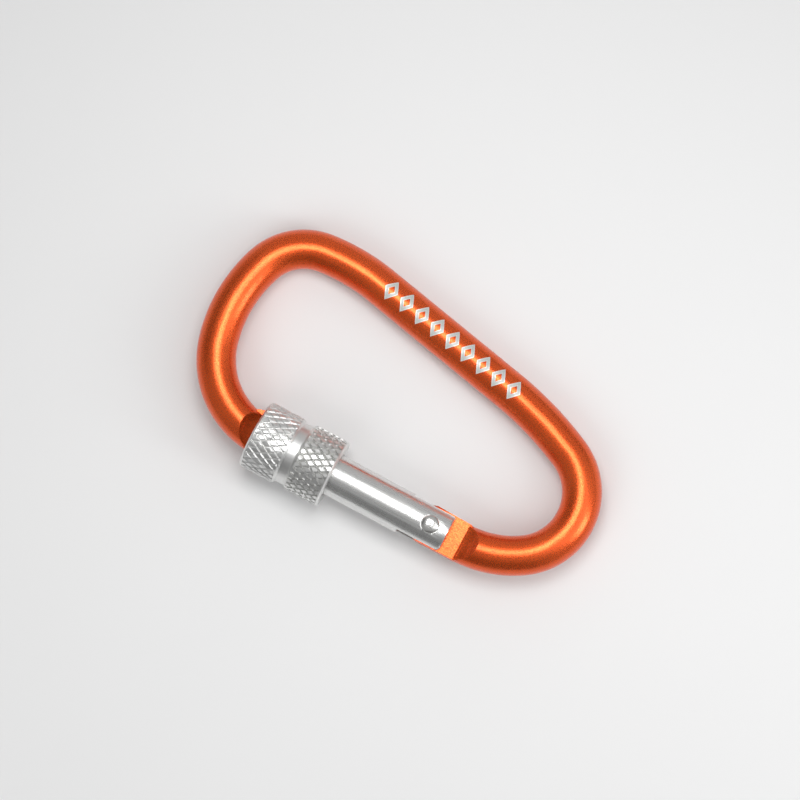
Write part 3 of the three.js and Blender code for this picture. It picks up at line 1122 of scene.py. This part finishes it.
def turned_aluminium(finishes, name, roughness, lines_mm, depth_mm):
    """Bare aluminium turned on a lathe and tumbled: pale and bright, with fine rings round its axis
    that spread a highlight along the tube, and small handling marks."""
    material, tree = new_material(name)
    place = add(tree, "TexCoord").outputs["Object"]
    # Feed marks are about 0.05 mm apart and are drawn coarser so that they show.
    patterns = []
    for size, coarse in (((lines_mm, 14.0, 14.0), 0.65), ((6.0, 0.5, 0.5), 0.6)):
        scale = [per_mm(part) for part in size]
        stretched = add(tree, "Mapping", {"Vector": place, "Scale": scale}).outputs["Vector"]
        settings = {"Vector": stretched, "Scale": 1.0, "Detail": 3.0, "Roughness": coarse}
        patterns.append(add(tree, "TexNoise", settings).outputs["Fac"])
    rings, along = patterns
    cloud = add(tree, "TexNoise", {"Vector": place, "Scale": per_mm(2.5), "Detail": 3.0})
    metal = finishes.aluminium_colour
    tone = mottled(tree, cloud, scaled(metal, 0.93, 0.93, 0.94), metal)
    height = add(tree, "Math", {0: along, 1: 0.5, 2: rings}, operation="MULTIPLY_ADD")
    rough = (roughness - 0.04, roughness + 0.05)
    close_metal(tree, tone, along, rough, height.outputs["Value"], 0.6, depth_mm)
    return material


def polished_steel(finishes, name, shade, roughness, dent_mm=0.006):
    """Plain carbon steel, ground or drawn and oiled: a darker grey than aluminium, with clear
    reflections broken by fine handling marks."""
    material, tree = new_material(name)
    place = add(tree, "TexCoord").outputs["Object"]
    marks = add(tree, "TexNoise", {"Vector": place, "Scale": per_mm(0.5), "Detail": 4.0})
    cloud = add(tree, "TexNoise", {"Vector": place, "Scale": per_mm(1.6), "Detail": 2.0})
    steel = finishes.steel_colour
    tone = mottled(tree, cloud, scaled(steel, shade * 0.85), scaled(steel, shade))
    rough = (roughness - 0.05, roughness + 0.07)
    close_metal(tree, tone, marks.outputs["Fac"], rough, marks.outputs["Fac"], 0.4, dent_mm)
    return material


def engraved_aluminium(finishes, name, shade, roughness):
    """Aluminium laid bare by laser engraving through the dye: a pale, frosted grey with a fine
    grain. The thin rim round each stroke is given a brighter, smoother copy."""
    material, tree = new_material(name)
    place = add(tree, "TexCoord").outputs["Object"]
    frost = add(tree, "TexNoise", {"Vector": place, "Scale": per_mm(0.25), "Detail": 3.0})
    mark = finishes.mark_colour
    tone = mottled(tree, frost, scaled(mark, shade * 0.86), scaled(mark, shade))
    bump = add(
        tree,
        "Bump",
        {"Strength": 0.5, "Distance": 0.01 * MM, "Height": frost.outputs["Fac"]},
    )
    close_material(
        tree,
        {
            "Base Color": tone,
            "Metallic": 0.35,
            "Roughness": roughness,
            "Normal": bump.outputs["Normal"],
        },
    )
    return material


def painted_board(finishes):
    """Matt painted board, rolled: an even pale grey with the faintest mottle."""
    material, tree = new_material("painted_board_pale")
    place = add(tree, "TexCoord").outputs["Object"]
    mottle = add(tree, "TexNoise", {"Vector": place, "Scale": per_mm(40.0), "Detail": 2.0})
    paint = finishes.floor_colour
    dark = scaled(paint, 0.985)
    tone = add(
        tree,
        "Mix",
        {0: mottle.outputs["Fac"], 6: (*dark, 1), 7: (*paint, 1)},
        data_type="RGBA",
    )
    close_material(tree, {"Base Color": tone.outputs[2], "Roughness": 0.85})
    return material


# ---- Operators ----


class CARABINER_OT_bar(bpy.types.Operator):
    """Adds the bent bar in dyed anodised aluminium"""

    bl_idname = "carabiner.bar"
    bl_label = "Bent Bar"

    def execute(self, context):
        settings = context.scene.carabiner
        bm = bar_mesh(settings.sizes)
        dyed = anodised_aluminium(settings.finishes)
        piece = finish_piece(bm, "bent_bar", "bar", "spine_bar", [dyed])
        weigh_normals(piece)
        return {"FINISHED"}


class CARABINER_OT_mark(bpy.types.Operator):
    """Adds the engraved row of open diamonds along the spine"""

    bl_idname = "carabiner.mark"
    bl_label = "Spine Mark"

    def execute(self, context):
        settings = context.scene.carabiner
        fill = engraved_aluminium(settings.finishes, "laser_engraved_aluminium", 1.0, 0.5)
        rim = engraved_aluminium(settings.finishes, "laser_engraved_aluminium_rim", 1.25, 0.35)
        bm = mark_mesh(settings.sizes)
        finish_piece(bm, "spine_mark", "bar", None, [fill, rim])
        return {"FINISHED"}


class CARABINER_OT_gate(bpy.types.Operator):
    """Adds the turned tube gate"""

    bl_idname = "carabiner.gate"
    bl_label = "Tube Gate"

    def execute(self, context):
        settings = context.scene.carabiner
        bright = turned_aluminium(
            settings.finishes,
            "turned_aluminium_gate",
            roughness=0.28,
            lines_mm=0.2,
            depth_mm=0.05,
        )
        bm = gate_mesh(settings.sizes)
        piece = finish_piece(bm, "turned_gate", "gate", "gate_tube", [bright])
        weigh_normals(piece)
        return {"FINISHED"}


class CARABINER_OT_sleeve(bpy.types.Operator):
    """Adds the knurled locking sleeve"""

    bl_idname = "carabiner.sleeve"
    bl_label = "Knurled Sleeve"

    def execute(self, context):
        settings = context.scene.carabiner
        bright = turned_aluminium(
            settings.finishes,
            "turned_aluminium_sleeve",
            roughness=0.36,
            lines_mm=0.16,
            depth_mm=0.03,
        )
        bm = sleeve_mesh(settings.sizes)
        finish_piece(
            bm,
            "knurled_sleeve",
            "sleeve",
            "locking_sleeve",
            [bright],
            sharp=math.radians(24),
        )
        return {"FINISHED"}


class CARABINER_OT_pins(bpy.types.Operator):
    """Adds the hinge rivet and the latch pin"""

    bl_idname = "carabiner.pins"
    bl_label = "Rivet and Latch Pin"

    def execute(self, context):
        finishes = context.scene.carabiner.finishes
        headed = polished_steel(finishes, "headed_steel_rivet", 1.1, 0.2, dent_mm=0.06)
        ground = polished_steel(finishes, "ground_steel_pin", 0.85, 0.25)
        finish_piece(rivet_mesh(), "domed_rivet", "gate", "hinge_rivet", [headed])
        finish_piece(pin_mesh(), "catch_pin", "gate", "latch_pin", [ground])
        return {"FINISHED"}


class CARABINER_OT_return(bpy.types.Operator):
    """Adds the plunger and the return spring inside the gate"""

    bl_idname = "carabiner.return_parts"
    bl_label = "Plunger and Spring"

    def execute(self, context):
        finishes = context.scene.carabiner.finishes
        ground = polished_steel(finishes, "ground_steel_plunger", 0.85, 0.28)
        drawn = polished_steel(finishes, "drawn_spring_steel", 0.55, 0.35)
        finish_piece(
            plunger_mesh(), "return_plunger", "plunger", "gate_plunger", [ground]
        )
        spring = finish_piece(
            spring_mesh(), "return_spring", "gate", "gate_spring", [drawn]
        )
        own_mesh(spring)
        return {"FINISHED"}


class CARABINER_OT_stage(bpy.types.Operator):
    """Adds the floor, the soft lights and the camera"""

    bl_idname = "carabiner.stage"
    bl_label = "Stage"

    def execute(self, context):
        settings = context.scene.carabiner
        add_floor(settings)
        add_lights(settings.stage)
        add_surround(context.scene)
        add_camera(context.scene, settings.stage)
        context.scene.view_settings.view_transform = "Standard"
        return {"FINISHED"}


# ---- Stage ----


def towards(azimuth, polar):
    """A direction by its turn from +X towards +Y and its angle from straight up, in degrees."""
    azimuth, polar = math.radians(azimuth), math.radians(polar)
    flat = math.sin(polar)
    return Vector((flat * math.cos(azimuth), flat * math.sin(azimuth), math.cos(polar)))


def add_floor(settings):
    """A board that the sleeve and the spine both rest on, so it leans a little."""
    spine = next(leg for leg in bar_legs() if leg[2] is None)
    start, heading = spine[0], spine[1]
    outward = Vector((math.sin(heading), -math.cos(heading), 0))
    sleeve_end = Vector((SLEEVE_BOX[1].x, 0, 0))
    drop = SLEEVE_BOX[1].z - settings.sizes.bar_radius / MM
    lean = math.asin(drop / (start - sleeve_end).dot(outward))
    normal = Vector((0, 0, math.cos(lean))) - outward * math.sin(lean)
    touch = PIVOT + (sleeve_end - normal * SLEEVE_BOX[1].z) * MM
    bm = bmesh.new()
    turn = normal.to_track_quat("Z", "Y").to_matrix().to_4x4()
    bmesh.ops.create_grid(
        bm,
        x_segments=8,
        y_segments=8,
        size=3.0,
        matrix=Matrix.Translation(touch) @ turn,
    )
    mesh = bpy.data.meshes.new("floor_board")
    bm.to_mesh(mesh)
    bm.free()
    mesh.materials.append(painted_board(settings.finishes))
    floor = bpy.data.objects.new("floor_board", mesh)
    bpy.context.scene.collection.objects.link(floor)


def add_softbox(name, direction, distance, long_way, length, width, level, glossy):
    """A rectangular softbox at a distance in metres from the middle of the part, facing it."""
    light = bpy.data.lights.new(name, "AREA")
    light.shape = "RECTANGLE"
    light.size, light.size_y = length, width
    light.energy = level * math.pi * length * width
    lamp = bpy.data.objects.new(name, light)
    side = (Vector(long_way) - direction * direction.dot(Vector(long_way))).normalized()
    facing = Matrix((side, direction.cross(side), direction)).transposed().to_4x4()
    middle = (CAD_BOX[0] + CAD_BOX[1]) / 2
    lamp.matrix_world = Matrix.Translation(middle + direction * distance) @ facing
    lamp.visible_camera = False
    lamp.visible_glossy = glossy
    bpy.context.scene.collection.objects.link(lamp)


def add_lights(stage):
    """A softbox overhead, a strip past the hinge, a dim softbox between them, and a light from the
    gate side that only lifts the floor."""
    along, across = (1, 0, 0), (0, 1, 0)
    for name, azimuth, polar, distance, long_way, length, width, level, glossy in (
        ("overhead_softbox", 116, 8.3, 0.231, along, 0.116, 0.09, stage.overhead_level, True),
        ("strip_softbox", 4, 58, 0.287, across, 0.06, 0.12, stage.strip_level, True),
        ("between_softbox", 8, 33, 0.26, along, 0.12, 0.12, stage.between_level, True),
        ("near_light", -105, 48, 0.42, along, 0.25, 0.25, stage.near_level, False),
    ):
        facing = towards(azimuth, polar)
        add_softbox(name, facing, distance, long_way, length, width, level, glossy)


def add_surround(scene):
    """A grey studio room, lighter past the spine and darker past the gate, with dark openings."""
    world = bpy.data.worlds.new("studio_room")
    world.use_nodes = True
    tree = world.node_tree
    tree.nodes.clear()
    way = add(tree, "TexCoord").outputs["Generated"]
    facing = add(tree, "VectorMath", {0: way, 1: (0.0, 1.0, 0.0)}, operation="DOT_PRODUCT")
    level = add(
        tree,
        "MapRange",
        {"Value": facing.outputs["Value"], 1: -0.9, 2: 0.35, 3: 0.34, 4: 0.52},
    ).outputs["Result"]
    for azimuth, polar, inner, outer, share in ROOM_OPENINGS:
        way_out = towards(azimuth, polar)
        near = add(tree, "VectorMath", {0: way, 1: way_out}, operation="DOT_PRODUCT")
        edge, core = (math.cos(math.radians(angle)) for angle in (outer, inner))
        shade = add(
            tree,
            "MapRange",
            {"Value": near.outputs["Value"], 1: edge, 2: core, 3: 1.0, 4: share},
            interpolation_type="SMOOTHSTEP",
        ).outputs["Result"]
        level = add(tree, "Math", {0: level, 1: shade}, operation="MULTIPLY").outputs["Value"]
    back = add(tree, "Background", {"Strength": level})
    back.inputs["Color"].default_value = (1, 1, 1, 1)
    add(tree, "OutputWorld", {"Surface": back.outputs["Background"]})
    scene.world = world


def add_camera(scene, stage):
    """The camera, above the part and turned so that the gate slopes down to the right."""
    data = bpy.data.cameras.new("camera")
    data.lens = 130.0
    data.sensor_width = 36.0
    data.clip_start, data.clip_end = 0.01, 20.0
    camera = bpy.data.objects.new("camera", data)
    turn = (
        Matrix.Rotation(stage.lean, 4, "X")
        @ Matrix.Rotation(stage.side_lean, 4, "Y")
        @ Matrix.Rotation(stage.roll, 4, "Z")
    )
    middle = (CAD_BOX[0] + CAD_BOX[1]) / 2
    aim = Vector((middle.x, middle.y, PIVOT.z)) + Vector(AIM_OFFSET) * MM
    camera.matrix_world = Matrix.Translation(aim + turn.col[2].xyz * stage.distance) @ turn
    scene.collection.objects.link(camera)
    scene.camera = camera


# ---- Add-on ----


class CarabinerSettings(bpy.types.PropertyGroup):
    """Every setting of the carabiner."""

    sizes: PointerProperty(type=CarabinerSizes)
    finishes: PointerProperty(type=CarabinerFinishes)
    stage: PointerProperty(type=CarabinerStage)


STEPS = (
    CARABINER_OT_bar,
    CARABINER_OT_mark,
    CARABINER_OT_gate,
    CARABINER_OT_sleeve,
    CARABINER_OT_pins,
    CARABINER_OT_return,
    CARABINER_OT_stage,
)


class CARABINER_PT_panel(bpy.types.Panel):
    """Lists the carabiner's pieces and settings"""

    bl_idname = "CARABINER_PT_panel"
    bl_label = "Locking Carabiner"
    bl_space_type = "VIEW_3D"
    bl_region_type = "UI"
    bl_category = "Carabiner"

    def draw(self, context):
        settings = context.scene.carabiner
        for group in (settings.sizes, settings.finishes, settings.stage):
            box = self.layout.box()
            for name in type(group).__annotations__:
                box.prop(group, name)
        for step in STEPS:
            self.layout.operator(step.bl_idname)


CLASSES = (
    CarabinerSizes,
    CarabinerFinishes,
    CarabinerStage,
    CarabinerSettings,
    *STEPS,
    CARABINER_PT_panel,
)


def register():
    for cls in CLASSES:
        bpy.utils.register_class(cls)
    bpy.types.Scene.carabiner = PointerProperty(type=CarabinerSettings)


def unregister():
    del bpy.types.Scene.carabiner
    for cls in reversed(CLASSES):
        bpy.utils.unregister_class(cls)


def main():
    """Builds every piece and the stage."""
    register()
    for step in STEPS:
        group, name = step.bl_idname.split(".")
        getattr(getattr(bpy.ops, group), name)()


if __name__ == "__main__":
    main()
